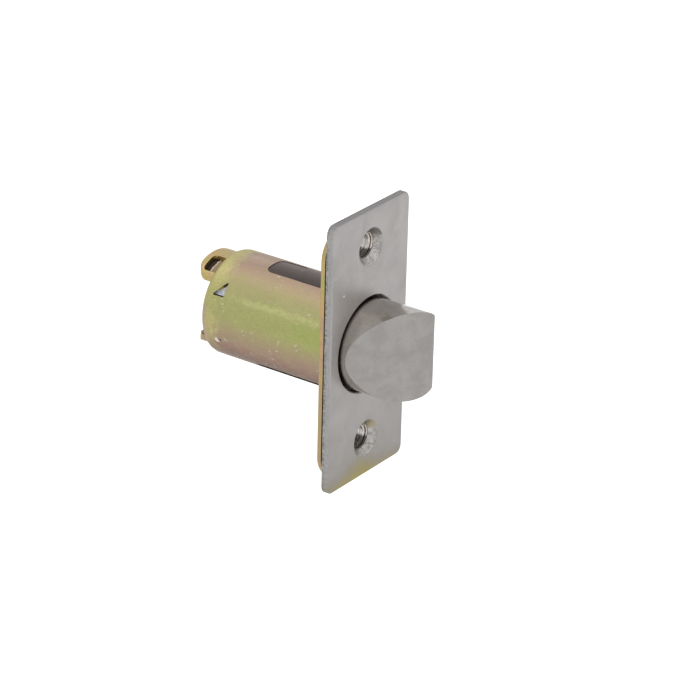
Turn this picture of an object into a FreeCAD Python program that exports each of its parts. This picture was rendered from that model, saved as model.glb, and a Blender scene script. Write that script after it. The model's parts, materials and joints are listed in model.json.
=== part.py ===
import FreeCAD, Part
import math
import os
import Sketcher

doc = FreeCAD.newDocument("tubular_latch")

# Driving sizes in millimetres, angles in degrees
SIZES = [
    ("plate_margin", 1.85, "face plate beyond the tube at each side, a 1 inch front"),
    ("plate_height", 57.15, "face plate along the door edge, 2 1/4 inches"),
    ("plate_thickness", 1.55, "face plate sheet"),
    ("plate_corner", 1.8, "face plate corner radius"),
    ("plate_edge", 0.25, "softened front edges"),
    ("screw_to_end", 7.925, "screw centre to the plate's end, 1 5/8 inches between screws"),
    ("screw_hole_dia", 5.2, "clearance hole in the face plate"),
    ("countersink_dia", 8.0, "mouth of the countersink"),
    ("countersink_angle", 90.0, "full angle of the countersink"),
    ("backing_side", 0.3, "inner plate short of the face plate at each side"),
    ("backing_end", 2.275, "inner plate short of the face plate at each end"),
    ("backing_thickness", 1.0, "inner plate sheet"),
    ("backing_corner", 5.5, "inner plate corner radius"),
    ("boss_wall", 0.75, "wall of an extruded screw boss"),
    ("boss_bore_dia", 4.3, "bore of an extruded screw boss"),
    ("boss_length", 1.6, "boss behind the inner plate"),
    ("tube_dia", 21.7, "case tube outside"),
    ("tube_wall", 0.7, "case tube sheet"),
    ("case_length", 33.5, "plate face to the tube's rear rim"),
    ("rim_bend", 1.2, "outer radius of the rim turned in over the cap"),
    ("neck_step", 0.3, "tube turned in where it passes through the inner plate"),
    ("collar_edge", 0.4, "softened rear edge of the inner plate's tube hole"),
    ("lip_overhang", 0.75, "lip of the tube between the plates"),
    ("lip_thickness", 0.45, "lip of the tube between the plates"),
    ("slot_width", 6.4, "key slots across"),
    ("slot_inset", 4.55, "key slots short of the guide sleeve's rear end"),
    ("slot_corner", 1.6, "rear corners of the key slots"),
    ("stake_angle", 146.0, "stake corner, from the strike side round the top"),
    ("stake_to_rim", 4.5, "stake corner to the rear rim"),
    ("stake_length", 2.2, "stake along the tube"),
    ("stake_height", 2.7, "stake round the tube"),
    ("stake_slit", 0.35, "open slit along two sides of a stake"),
    ("stake_press", 0.5, "how far a stake is pressed in"),
    ("stake_root", 0.4, "overlap of a stake with the wall at its fold"),
    ("stake_room", 0.2, "gap round a stake in the cap's skirt"),
    ("dimple_angle", 200.0, "punched dimple, from the strike side round the top"),
    ("dimple_dia", 0.9, "punched dimple across"),
    ("dimple_depth", 0.3, "punched dimple deep"),
    ("slip", 0.1, "gap between the tube and what is pressed into it"),
    ("end_gap", 0.1, "end gap between neighbours in the tube"),
    ("sleeve_cap_gap", 0.25, "gap between the guide sleeve and the cap's skirt"),
    ("sleeve_lining", 0.52, "wall of the guide sleeve round the bolt"),
    ("sleeve_end_wall", 1.5, "rear wall of the guide sleeve"),
    ("key_gap", 0.12, "gap between a key and its slot"),
    ("key_sink", 0.12, "rear part of a key below the tube's surface"),
    ("key_rise", 0.04, "front part of a key above the tube's surface"),
    ("key_front_near", 11.8, "front part of a key along its bevel side"),
    ("key_front_far", 14.2, "front part of a key along its strike side"),
    ("leg_inset", 1.4, "sleeve legs narrower than the prongs at each side"),
    ("leg_thickness", 2.45, "sleeve legs at their middle"),
    ("leg_short", 0.5, "leg ends inside the prong ends"),
    ("leg_gap", 0.1, "gap between a leg and its prong"),
    ("cap_sheet", 0.85, "prong cap sheet"),
    ("cap_depth", 4.7, "prong cap skirt and end wall"),
    ("cap_sink", 0.8, "end wall inside the rear rim"),
    ("joggle_length", 1.0, "step from skirt to prong along the tube"),
    ("joggle_step", 0.45, "prongs stepped in from the skirt"),
    ("prong_width", 12.8, "prongs across"),
    ("prong_length", 5.5, "prongs behind the cap's end wall"),
    ("prong_corner", 2.8, "corner radius at a prong's end"),
    ("window_length", 3.7, "prong window along the tube"),
    ("window_side", 0.8, "prong window to the prong's side"),
    ("window_corner", 0.8, "prong window corner radius"),
    ("window_offset", 1.5, "prong window to the prong's middle"),
    ("window_to_end", 1.3, "prong window to the prong's end"),
    ("tail_thickness", 1.5, "tail strip"),
    ("tail_height", 5.2, "tail strip"),
    ("tail_gap", 0.15, "gap round the tail in its slots"),
    ("tail_stop_height", 7.2, "shoulders that stop on the end wall"),
    ("tail_stop_length", 1.3, "shoulders that stop on the end wall"),
    ("tail_neck_height", 3.2, "neck that the lock's retractor holds"),
    ("tail_neck_length", 3.0, "neck that the lock's retractor holds"),
    ("tail_head_height", 7.8, "cross head of the tail"),
    ("tail_head_length", 1.6, "cross head of the tail"),
    ("tail_edge", 0.3, "rounded corners of the tail"),
    ("bolt_run_gap", 0.08, "gap between the bolt and the guide sleeve"),
    ("bolt_play", 0.5, "gap between the bolt and the face plate"),
    ("bolt_throw", 12.7, "travel of the bolt, 1/2 inch"),
    ("bolt_proud", -0.3, "tip past the face plate when drawn back"),
    ("bolt_rear_gap", 0.3, "gap behind the bolt when drawn back"),
    ("bevel_start", 0.45, "bevel's root in front of the face plate"),
    ("bevel_margin", 0.5, "where the bevel is measured, outside the bolt's side"),
    ("bevel_radius", 30.4, "slight bulge of the bevel"),
    ("strike_depth", 4.2, "flat strike side inside the bolt's round"),
    ("shoulder_sink", 0.25, "bolt shoulder behind the face plate"),
    ("tip_round", 0.6, "rounding between the bevel and the strike side"),
    ("nose_round", 1.2, "rounding of the tip's two corners"),
    ("cup_wall", 2.45, "wall of the spring cup in the bolt"),
    ("cup_depth", 7.15, "spring cup from the bolt's rear end"),
    ("tail_socket", 5.0, "tail socket in front of the cup floor"),
    ("pin_dia", 2.4, "tail pin"),
    ("pin_gap", 0.05, "gap round the tail pin"),
    ("pin_short", 0.7, "pin shorter than the bolt's width"),
    ("pin_inset", 2.5, "pin centre in front of the cup floor"),
    ("wire_dia", 0.9, "spring wire"),
    ("spring_side_gap", 0.8, "gap round the spring in its cup"),
    ("spring_turns", 8.0, "turns of the spring"),
    ("spring_end_turns", 1.0, "turns that lie close at each end"),
    ("spring_steps", 16, "straight runs in each turn"),
    ("spring_room", 0.25, "gap round the spring in the sleeve's end wall"),
    ("seat_gap", 0.05, "gap at each end of the spring"),
    ("overshoot", 2.0, "cuts run this far past what they cut"),
]

sheet = doc.addObject("Spreadsheet::Sheet", "dims")
for row, (alias, value, note) in enumerate(SIZES, start=1):
    sheet.set(f"A{row}", alias)
    sheet.set(f"B{row}", str(value))
    sheet.set(f"C{row}", note)
    sheet.setAlias(f"B{row}", alias)
doc.recompute()


class Size:
    """A value together with the sheet expression that gives it."""

    def __init__(self, value, text):
        self.value = value
        self.text = text

    def __add__(self, other):
        other = as_size(other)
        return Size(self.value + other.value, f"({self.text} + {other.text})")

    def __sub__(self, other):
        other = as_size(other)
        return Size(self.value - other.value, f"({self.text} - {other.text})")

    def __mul__(self, other):
        other = as_size(other)
        return Size(self.value * other.value, f"({self.text} * {other.text})")

    def __truediv__(self, other):
        other = as_size(other)
        return Size(self.value / other.value, f"({self.text} / {other.text})")

    def __neg__(self):
        return Size(-self.value, f"(0 - {self.text})")


def as_size(number):
    """Wrap a plain number, such as the 2 that halves a width."""
    if isinstance(number, Size):
        return number
    return Size(float(number), str(number))


def dim(alias):
    """The named size from the sheet."""
    return Size(float(sheet.get(alias)), f"dims.{alias}")


ZERO = as_size(0)


def new_body(label):
    body = doc.addObject("PartDesign::Body", label)
    body.Label = label
    return body


def origin_plane(body, role):
    planes = [item for item in body.Origin.OriginFeatures if item.Role == role]
    return planes[0]


def new_sketch(body, name, role, offset=ZERO):
    """A sketch on an origin plane of its body, moved along the plane's normal."""
    sketch = body.newObject("Sketcher::SketchObject", name)
    sketch.AttachmentSupport = [(origin_plane(body, role), "")]
    sketch.MapMode = "FlatFace"
    if offset is not ZERO:
        sketch.setExpression("AttachmentOffset.Base.z", offset.text)
    return sketch


def turned_sketch(body, name, angle, radius=ZERO):
    """A sketch square to the radius at this angle from +Y round the tube."""
    sketch = new_sketch(body, name, "XY_Plane")
    sketch.AttachmentOffset = FreeCAD.Placement(
        FreeCAD.Vector(0, 0, 0), FreeCAD.Rotation(FreeCAD.Vector(1, 0, 0), angle.value - 90)
    )
    sketch.setExpression("AttachmentOffset.Rotation.Angle", f"{angle.text} - 90")
    if radius is not ZERO:
        sketch.setExpression("AttachmentOffset.Base.y", f"{radius.text} * cos({angle.text})")
        sketch.setExpression("AttachmentOffset.Base.z", f"{radius.text} * sin({angle.text})")
    return sketch


def bind(sketch, kind, parts, size):
    """Add one driving constraint and tie it to its expression."""
    index = sketch.addConstraint(Sketcher.Constraint(kind, *parts, size.value))
    sketch.setExpression(f"Constraints[{index}]", size.text)


def place_point(sketch, geometry, end, point):
    """Fix one point of the sketch by its two distances from the origin."""
    for kind, axis, size in (("DistanceX", -2, point[0]), ("DistanceY", -1, point[1])):
        if size is ZERO:
            sketch.addConstraint(Sketcher.Constraint("PointOnObject", geometry, end, axis))
        else:
            bind(sketch, kind, (-1, 1, geometry, end), size)


def vector(point):
    return FreeCAD.Vector(point[0].value, point[1].value, 0)


def arc_between(start, end, radius, side):
    """An arc with its centre to the left (side 1) or right (side -1) of the way it runs."""
    chord = end - start
    left = FreeCAD.Vector(-chord.y, chord.x, 0).normalize()
    height = math.sqrt(radius ** 2 - chord.Length ** 2 / 4)
    centre = (start + end) * 0.5 + left * (side * height)
    first, last = (start, end) if side > 0 else (end, start)
    low = math.atan2(first.y - centre.y, first.x - centre.x)
    high = math.atan2(last.y - centre.y, last.x - centre.x)
    if high < low:
        high += 2 * math.pi
    return Part.ArcOfCircle(Part.Circle(centre, FreeCAD.Vector(0, 0, 1), radius), low, high)


def outline(sketch, points, arcs=None):
    """A closed outline; arcs gives the radius and side of each edge that isn't straight."""
    arcs = arcs or {}
    count = len(points)
    first = sketch.GeometryCount
    ends = []
    for i in range(count):
        start, end = vector(points[i]), vector(points[(i + 1) % count])
        if i in arcs:
            radius, side = arcs[i]
            sketch.addGeometry(arc_between(start, end, radius.value, side))
            ends.append((1, 2) if side > 0 else (2, 1))
        else:
            sketch.addGeometry(Part.LineSegment(start, end))
            ends.append((1, 2))
    for i in range(count):
        after = (i + 1) % count
        joint = (first + i, ends[i][1], first + after, ends[after][0])
        sketch.addConstraint(Sketcher.Constraint("Coincident", *joint))
        place_point(sketch, first + i, ends[i][0], points[i])
        if i in arcs:
            bind(sketch, "Radius", (first + i,), arcs[i][0])


def rectangle(sketch, left, right, low, high):
    outline(sketch, [(left, low), (right, low), (right, high), (left, high)])


def circle(sketch, centre, radius):
    index = sketch.addGeometry(Part.Circle(vector(centre), FreeCAD.Vector(0, 0, 1), radius.value))
    bind(sketch, "Radius", (index,), radius)
    place_point(sketch, index, 3, centre)


def pad(body, name, sketch, length, **options):
    return extrude(body, "PartDesign::Pad", name, sketch, length, options)


def pocket(body, name, sketch, length, **options):
    return extrude(body, "PartDesign::Pocket", name, sketch, length, options)


def extrude(body, kind, name, sketch, length, options):
    """A pad or a pocket; symmetric=True runs half its length to each side."""
    feature = body.newObject(kind, name)
    feature.Profile = sketch
    feature.setExpression("Length", length.text)
    feature.Reversed = options.get("back", False)
    feature.SideType = "Symmetric" if options.get("symmetric") else "One side"
    doc.recompute()
    return feature


def revolve(body, kind, name, sketch):
    """A revolution or a groove, once round the tube's axis."""
    feature = body.newObject(kind, name)
    feature.Profile = sketch
    feature.ReferenceAxis = (sketch, ["H_Axis"])
    feature.Angle = 360
    doc.recompute()
    return feature


def round_edges(body, name, radius, chosen):
    """Fillet the edges of the body's tip that the test picks."""
    tip = body.Tip
    names = [f"Edge{i}" for i, edge in enumerate(tip.Shape.Edges, start=1) if chosen(edge)]
    feature = body.newObject("PartDesign::Fillet", name)
    feature.Base = (tip, names)
    feature.setExpression("Radius", radius.text)
    doc.recompute()
    return feature


def bevel_edges(body, name, width, chosen):
    """Chamfer the edges of the body's tip that the test picks."""
    tip = body.Tip
    names = [f"Edge{i}" for i, edge in enumerate(tip.Shape.Edges, start=1) if chosen(edge)]
    feature = body.newObject("PartDesign::Chamfer", name)
    feature.Base = (tip, names)
    feature.setExpression("Size", width.text)
    doc.recompute()
    return feature


def is_at(edge, axis, place):
    """True when the whole edge lies where the axis coordinate has this value."""
    low = getattr(edge.BoundBox, axis + "Min")
    high = getattr(edge.BoundBox, axis + "Max")
    return abs(low - place.value) < 1e-4 and abs(high - place.value) < 1e-4


def is_along(edge, axis):
    """True for a straight edge along the axis."""
    if edge.Curve.TypeId != "Part::GeomLine":
        return False
    direction = edge.tangentAt(edge.FirstParameter)
    return abs(abs(getattr(direction, axis.lower())) - 1) < 1e-6


# Places along the axis, measured from the outer face of the face plate
plate_back = -dim("plate_thickness")
backing_front = plate_back - dim("lip_thickness")
backing_back = backing_front - dim("backing_thickness")
tube_rear = -dim("case_length")
cap_rear = tube_rear + dim("cap_sink")
cap_wall_front = cap_rear + dim("cap_sheet")
cap_front = cap_rear + dim("cap_depth")
sleeve_front = plate_back - dim("end_gap")
sleeve_rear = cap_front + dim("sleeve_cap_gap")
sleeve_wall_front = sleeve_rear + dim("sleeve_end_wall")
slot_front = backing_back
slot_rear = sleeve_rear + dim("slot_inset")
prong_rear = cap_rear - dim("prong_length")
leg_rear = prong_rear + dim("leg_short")
bolt_tip = dim("bolt_throw") + dim("bolt_proud")
bolt_rear = sleeve_wall_front + dim("bolt_throw") + dim("bolt_rear_gap")
bolt_shoulder = plate_back - dim("shoulder_sink")
cup_floor = bolt_rear + dim("cup_depth")
pin_place = cup_floor + dim("pin_inset")
tail_front = cup_floor + dim("tail_socket") - dim("tail_gap")
tail_stop_front = cap_rear - dim("end_gap")
tail_stop_rear = tail_stop_front - dim("tail_stop_length")
tail_neck_rear = tail_stop_rear - dim("tail_neck_length")
tail_rear = tail_neck_rear - dim("tail_head_length")
overshoot = dim("overshoot")

# Radii, from the tube inwards
tube_out = dim("tube_dia") / 2
tube_in = tube_out - dim("tube_wall")
neck_out = tube_out - dim("neck_step")
lip_out = tube_out + dim("lip_overhang")
skirt_out = tube_in - dim("slip")
skirt_in = skirt_out - dim("cap_sheet")
prong_out = skirt_out - dim("joggle_step")
prong_in = prong_out - dim("cap_sheet")
leg_out = prong_in - dim("leg_gap")
leg_in = leg_out - dim("leg_thickness")
sleeve_bore = skirt_out - dim("sleeve_lining")
bolt_out = sleeve_bore - dim("bolt_run_gap")
cup_radius = bolt_out - dim("cup_wall")
spring_out = cup_radius - dim("spring_side_gap")
collar_radius = neck_out + dim("slip") / 2
plate_hole = bolt_out + dim("bolt_play")
through_tube = (tube_out + overshoot) * 2

# Half widths and heights about the axis
half_plate_width = tube_out + dim("plate_margin")
half_plate_height = dim("plate_height") / 2
half_backing_width = half_plate_width - dim("backing_side")
half_backing_height = half_plate_height - dim("backing_end")
screw_place = half_plate_height - dim("screw_to_end")
bore_radius = dim("boss_bore_dia") / 2
half_prong = dim("prong_width") / 2
half_leg = half_prong - dim("leg_inset")
strike_side = bolt_out - dim("strike_depth")

# Face plate: a flat front with rounded corners, the bolt's hole and two countersunk holes
faceplate = new_body("faceplate")
front = new_sketch(faceplate, "plate_outline", "YZ_Plane")
rectangle(front, -half_plate_width, half_plate_width, -half_plate_height, half_plate_height)
pad(faceplate, "plate_sheet", front, dim("plate_thickness"), back=True)
round_edges(faceplate, "plate_corners", dim("plate_corner"), lambda edge: is_along(edge, "X"))
hole = new_sketch(faceplate, "bolt_hole_outline", "YZ_Plane")
circle(hole, (ZERO, ZERO), plate_hole)
pocket(faceplate, "bolt_hole", hole, dim("plate_thickness"))
bevel_edges(faceplate, "front_edges", dim("plate_edge"), lambda edge: is_at(edge, "X", ZERO))
screws = new_sketch(faceplate, "screw_centres", "YZ_Plane")
circle(screws, (ZERO, screw_place), dim("screw_hole_dia") / 2)
circle(screws, (ZERO, -screw_place), dim("screw_hole_dia") / 2)
holes = faceplate.newObject("PartDesign::Hole", "screw_holes")
holes.Profile = screws
holes.DepthType = "ThroughAll"
doc.recompute()
holes.ThreadType = "None"
holes.setExpression("Diameter", "dims.screw_hole_dia")
holes.HoleCutType = "Countersink"
holes.HoleCutCustomValues = True
holes.setExpression("HoleCutDiameter", "dims.countersink_dia")
holes.setExpression("HoleCutCountersinkAngle", "dims.countersink_angle")
doc.recompute()

# Inner plate: smaller and rounder, with the screw bosses extruded from its sheet
backing = new_body("backing_plate")
inner = new_sketch(backing, "backing_outline", "YZ_Plane", backing_front)
rectangle(
    inner,
    -half_backing_width,
    half_backing_width,
    -half_backing_height,
    half_backing_height,
)
pad(backing, "backing_sheet", inner, dim("backing_thickness"), back=True)
round_edges(backing, "backing_corners", dim("backing_corner"), lambda edge: is_along(edge, "X"))
bosses = new_sketch(backing, "boss_outlines", "YZ_Plane", backing_back)
circle(bosses, (ZERO, screw_place), bore_radius + dim("boss_wall"))
circle(bosses, (ZERO, -screw_place), bore_radius + dim("boss_wall"))
pad(backing, "screw_bosses", bosses, dim("boss_length"), back=True)
bores = new_sketch(backing, "bore_outlines", "YZ_Plane", backing_front)
circle(bores, (ZERO, screw_place), bore_radius)
circle(bores, (ZERO, -screw_place), bore_radius)
pocket(backing, "boss_bores", bores, dim("backing_thickness") + dim("boss_length"))
collar = new_sketch(backing, "tube_hole_outline", "YZ_Plane", backing_front)
circle(collar, (ZERO, ZERO), collar_radius)
pocket(backing, "tube_hole", collar, dim("backing_thickness"))


def is_collar_rear(edge):
    at_hole = abs(edge.BoundBox.YMax - collar_radius.value) < 1e-3
    return at_hole and is_at(edge, "X", backing_back)


bevel_edges(backing, "tube_hole_edge", dim("collar_edge"), is_collar_rear)

# Case tube: its lip lies between the plates, its rear rim is turned in over the cap
tube = new_body("latch_tube")
wall = new_sketch(tube, "tube_profile", "XY_Plane")


def rim_point(radius, angle):
    """A point of the turned-in rim; the angle runs from the wall (0) to the rim's end (90)."""
    turn = math.radians(angle)
    along = tube_rear + dim("rim_bend") - radius * math.sin(turn)
    return (along, tube_out - dim("rim_bend") + radius * math.cos(turn))


rim_inner = dim("rim_bend") - dim("tube_wall")
outline(wall, [
    rim_point(rim_inner, 90),
    rim_point(dim("rim_bend"), 90),
    rim_point(dim("rim_bend"), 60),
    rim_point(dim("rim_bend"), 30),
    rim_point(dim("rim_bend"), 0),
    (backing_back, tube_out),
    (backing_back, neck_out),
    (backing_front, neck_out),
    (backing_front, lip_out),
    (plate_back, lip_out),
    (plate_back, tube_in),
    rim_point(rim_inner, 0),
    rim_point(rim_inner, 45),
])
revolve(tube, "PartDesign::Revolution", "tube_wall", wall)
slots = new_sketch(tube, "slot_outline", "XY_Plane")
half_slot = dim("slot_width") / 2
rectangle(slots, slot_rear, slot_front, -half_slot, half_slot)
pocket(tube, "key_slots", slots, through_tube, symmetric=True)
round_edges(
    tube,
    "slot_corners",
    dim("slot_corner"),
    lambda edge: is_along(edge, "Z") and is_at(edge, "X", slot_rear),
)

# Stakes: corners lanced out of the tube and pressed into the cap, the same on both sides
stake_front = tube_rear + dim("stake_to_rim")
stake_rear = stake_front - dim("stake_length")
stake_low = -dim("stake_slit") * 2
stake_high = stake_low + dim("stake_height")
slit = dim("stake_slit")
root = dim("stake_root")
lance = turned_sketch(tube, "stake_slits_outline", dim("stake_angle"))
outline(lance, [
    (stake_front + slit, stake_low - slit),
    (stake_front + slit, stake_high),
    (stake_front, stake_high),
    (stake_rear, stake_low),
    (stake_rear, stake_low - slit),
])
stake_slits = pocket(tube, "stake_slits", lance, tube_out + overshoot, back=True)
tab = turned_sketch(tube, "stake_tab_outline", dim("stake_angle"), tube_out - dim("stake_press"))
outline(tab, [
    (stake_front, stake_low),
    (stake_front, stake_high + root),
    (stake_rear, stake_low),
])
stake_tab = pad(tube, "stake_tab", tab, dim("tube_wall"), back=True)
punch = turned_sketch(tube, "dimple_outline", dim("dimple_angle"), tube_out)
circle(punch, (stake_front, ZERO), dim("dimple_dia") / 2)
dimple = pocket(tube, "dimple", punch, dim("dimple_depth"))
pair = tube.newObject("PartDesign::Mirrored", "stakes_other_side")
pair.Originals = [stake_slits, stake_tab, dimple]
pair.MirrorPlane = (origin_plane(tube, "XZ_Plane"), [""])
tube.Tip = pair
doc.recompute()

# Guide sleeve: a plastic lining whose keys fill the slots and whose legs back the prongs
sleeve = new_body("guide_sleeve")
core = new_sketch(sleeve, "sleeve_core_outline", "YZ_Plane", sleeve_front)
circle(core, (ZERO, ZERO), skirt_out)
pad(sleeve, "sleeve_core", core, sleeve_front - sleeve_rear, back=True)
key_front = slot_front - dim("key_gap")
key_rear = slot_rear + dim("key_gap")
half_key = half_slot - dim("key_gap")
key_slab = new_sketch(sleeve, "key_outline", "XY_Plane")
rectangle(key_slab, key_rear, key_front, -half_key, half_key)
pad(sleeve, "keys", key_slab, through_tube, symmetric=True)


def round_off(name, front, rear, radius):
    """Turn the sleeve down to this radius between two places."""
    profile = new_sketch(sleeve, name + "_outline", "XY_Plane")
    rectangle(profile, rear, front, radius, tube_out + overshoot * 2)
    revolve(sleeve, "PartDesign::Groove", name, profile)


round_off("key_surface", sleeve_front, sleeve_rear, tube_out - dim("key_sink"))
front_slab = new_sketch(sleeve, "key_front_outline", "XY_Plane")
outline(front_slab, [
    (key_front, -half_key),
    (key_front, half_key),
    (key_front - dim("key_front_far"), half_key),
    (key_front - dim("key_front_near"), -half_key),
])
pad(sleeve, "key_fronts", front_slab, through_tube, symmetric=True)
round_off("key_front_surface", sleeve_front, sleeve_rear, tube_out + dim("key_rise"))
round_edges(
    sleeve,
    "key_corners",
    dim("slot_corner") - dim("key_gap"),
    lambda edge: is_along(edge, "Z") and is_at(edge, "X", key_rear),
)
legs = new_sketch(sleeve, "leg_outlines", "YZ_Plane", sleeve_wall_front)
leg_top = tube_out + overshoot
rectangle(legs, -half_leg, half_leg, leg_in, leg_top)
rectangle(legs, -half_leg, half_leg, -leg_top, -leg_in)
pad(sleeve, "legs", legs, sleeve_wall_front - leg_rear, back=True)
round_off("leg_surface", sleeve_rear, leg_rear - overshoot, leg_out)
round_off("wall_surface", sleeve_wall_front, sleeve_rear, skirt_out)
bore = new_sketch(sleeve, "bolt_bore_outline", "YZ_Plane", sleeve_front)
circle(bore, (ZERO, ZERO), sleeve_bore)
pocket(sleeve, "bolt_bore", bore, sleeve_front - sleeve_wall_front)
port = new_sketch(sleeve, "spring_port_outline", "YZ_Plane", sleeve_wall_front)
circle(port, (ZERO, ZERO), spring_out + dim("spring_room"))
pocket(sleeve, "spring_port", port, dim("sleeve_end_wall"))

# Prong cap: one pressing, with an end wall at its sides and two prongs, top and bottom
cap = new_body("prong_cap")
wall_disc = new_sketch(cap, "end_wall_outline", "YZ_Plane", cap_wall_front)
circle(wall_disc, (ZERO, ZERO), (prong_in + prong_out) / 2)
pad(cap, "end_wall", wall_disc, dim("cap_sheet"), back=True)
ways = new_sketch(cap, "leg_ways_outline", "YZ_Plane", cap_wall_front)
half_way = half_leg + dim("tail_gap")
way_low = leg_in - dim("tail_gap")
rectangle(ways, -half_way, half_way, way_low, prong_out + overshoot)
rectangle(ways, -half_way, half_way, -(prong_out + overshoot), -way_low)
pocket(cap, "leg_ways", ways, dim("cap_sheet"))
tail_way = new_sketch(cap, "tail_way_outline", "YZ_Plane", cap_wall_front)
half_way_width = dim("tail_thickness") / 2 + dim("tail_gap")
half_way_height = dim("tail_height") / 2 + dim("tail_gap")
rectangle(tail_way, -half_way_width, half_way_width, -half_way_height, half_way_height)
pocket(cap, "tail_way", tail_way, dim("cap_sheet"))
step_front = cap_rear + dim("joggle_length")
sheet_profile = new_sketch(cap, "cap_profile", "XY_Plane")
outline(sheet_profile, [
    (cap_front, skirt_in),
    (cap_front, skirt_out),
    (step_front, skirt_out),
    (cap_rear, prong_out),
    (prong_rear, prong_out),
    (prong_rear, prong_in),
    (cap_rear, prong_in),
    (step_front, skirt_in),
])
revolve(cap, "PartDesign::Revolution", "skirt_and_prongs", sheet_profile)
sides = new_sketch(cap, "prong_sides_outline", "XY_Plane")
side = skirt_out + overshoot
for sign in (1, -1):
    flank = half_prong * sign
    turn = (half_prong - dim("prong_corner")) * sign
    edge = [
        (cap_rear, flank),
        (prong_rear + dim("prong_corner"), flank),
        (prong_rear, turn),
        (prong_rear - overshoot, turn),
        (prong_rear - overshoot, side * sign),
        (cap_rear, side * sign),
    ]
    outline(sides, edge, {1: (dim("prong_corner"), sign)})
pocket(cap, "prong_sides", sides, through_tube, symmetric=True)
window_rear = prong_rear + dim("window_to_end")
window_front = window_rear + dim("window_length")
window_near = dim("window_offset")
window_far = half_prong - dim("window_side")
upper = new_sketch(cap, "upper_window_outline", "XY_Plane")
rectangle(upper, window_rear, window_front, -window_far, -window_near)
pocket(cap, "upper_window", upper, tube_out, back=True)
lower = new_sketch(cap, "lower_window_outline", "XY_Plane")
rectangle(lower, window_rear, window_front, window_near, window_far)
pocket(cap, "lower_window", lower, tube_out)
round_edges(
    cap,
    "window_corners",
    dim("window_corner"),
    lambda edge: is_along(edge, "Z") and (is_at(edge, "X", window_rear) or is_at(edge, "X", window_front)),
)
room = dim("stake_room")
seat = turned_sketch(cap, "stake_seat_outline", dim("stake_angle"))
rectangle(
    seat,
    stake_rear - room,
    stake_front + room,
    stake_low - room,
    stake_high + root + room,
)
stake_seat = pocket(cap, "stake_seat", seat, tube_out, back=True)
seat_pair = cap.newObject("PartDesign::Mirrored", "stake_seat_other_side")
seat_pair.Originals = [stake_seat]
seat_pair.MirrorPlane = (origin_plane(cap, "XZ_Plane"), [""])
cap.Tip = seat_pair
doc.recompute()

# Bolt: round behind the plate, with a bevelled D-shaped nose and a cup for the spring
bolt = new_body("latch_bolt")
round_bar = new_sketch(bolt, "bolt_round_outline", "YZ_Plane", bolt_tip)
circle(round_bar, (ZERO, ZERO), bolt_out)
pad(bolt, "bolt_round", round_bar, bolt_tip - bolt_rear, back=True)
round_edges(bolt, "nose_edge", dim("nose_round"), lambda edge: is_at(edge, "X", bolt_tip))
bevel = new_sketch(bolt, "bevel_outline", "XY_Plane")
past_tip = bolt_tip + overshoot
past_side = -(bolt_out + overshoot)
bevel_low = (dim("bevel_start"), -(bolt_out + dim("bevel_margin")))
bevel_high = (bolt_tip, strike_side)
outline(bevel, [
    bevel_high,
    bevel_low,
    (dim("bevel_start"), past_side),
    (past_tip, past_side),
    (past_tip, strike_side),
], {0: (dim("bevel_radius"), -1)})
pocket(bolt, "bevel", bevel, through_tube, symmetric=True)
flat = new_sketch(bolt, "strike_flat_outline", "XY_Plane")
rectangle(flat, bolt_shoulder, past_tip, strike_side, bolt_out + overshoot)
pocket(bolt, "strike_flat", flat, through_tube, symmetric=True)


def is_tip(edge):
    box = edge.BoundBox
    at_side = abs(box.YMin - strike_side.value) < 1e-3 and box.YLength < 1e-3
    return at_side and is_along(edge, "Z") and box.XMin > bolt_shoulder.value + 1


round_edges(bolt, "tip_edge", dim("tip_round"), is_tip)
cup = new_sketch(bolt, "cup_outline", "YZ_Plane", bolt_rear)
circle(cup, (ZERO, ZERO), cup_radius)
pocket(bolt, "spring_cup", cup, dim("cup_depth"), back=True)
socket = new_sketch(bolt, "tail_socket_outline", "YZ_Plane", cup_floor)
rectangle(socket, -half_way_width, half_way_width, -half_way_height, half_way_height)
pocket(bolt, "tail_socket", socket, dim("tail_socket"), back=True)
drill = new_sketch(bolt, "pin_hole_outline", "XZ_Plane")
circle(drill, (pin_place, ZERO), dim("pin_dia") / 2 + dim("pin_gap"))
pocket(bolt, "pin_hole", drill, through_tube, symmetric=True)

# Tail: a strip that the lock's retractor takes by its neck
tail = new_body("tail_bar")
half_strip = dim("tail_height") / 2
half_stop = dim("tail_stop_height") / 2
half_neck = dim("tail_neck_height") / 2
half_head = dim("tail_head_height") / 2
upper = [
    (tail_front, half_strip),
    (tail_stop_front, half_strip),
    (tail_stop_front, half_stop),
    (tail_stop_rear, half_stop),
    (tail_stop_rear, half_neck),
    (tail_neck_rear, half_neck),
    (tail_neck_rear, half_head),
    (tail_rear, half_head),
]
lower = [(place, -height) for place, height in reversed(upper)]
strip = new_sketch(tail, "tail_outline", "XZ_Plane")
outline(strip, upper + lower)
pad(tail, "tail_strip", strip, dim("tail_thickness"), symmetric=True)
round_edges(
    tail,
    "tail_corners",
    dim("tail_edge"),
    lambda edge: is_along(edge, "Y") and (is_at(edge, "X", tail_rear) or is_at(edge, "X", tail_front)),
)
eye = new_sketch(tail, "eye_outline", "XZ_Plane")
circle(eye, (pin_place, ZERO), dim("pin_dia") / 2 + dim("pin_gap"))
pocket(tail, "pin_eye", eye, dim("tail_thickness") * 2, symmetric=True)

# Tail pin: a plain pin across the bolt
pin = doc.addObject("Part::Cylinder", "tail_pin")
pin.Label = "tail_pin"
half_pin = bolt_out - dim("pin_short") / 2
pin.setExpression("Radius", "dims.pin_dia / 2")
pin.setExpression("Height", (half_pin * 2).text)
pin.Placement = FreeCAD.Placement(
    FreeCAD.Vector(0, 0, 0), FreeCAD.Rotation(FreeCAD.Vector(1, 0, 0), -90)
)
pin.setExpression("Placement.Base.x", pin_place.text)
pin.setExpression("Placement.Base.y", (-half_pin).text)

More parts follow.
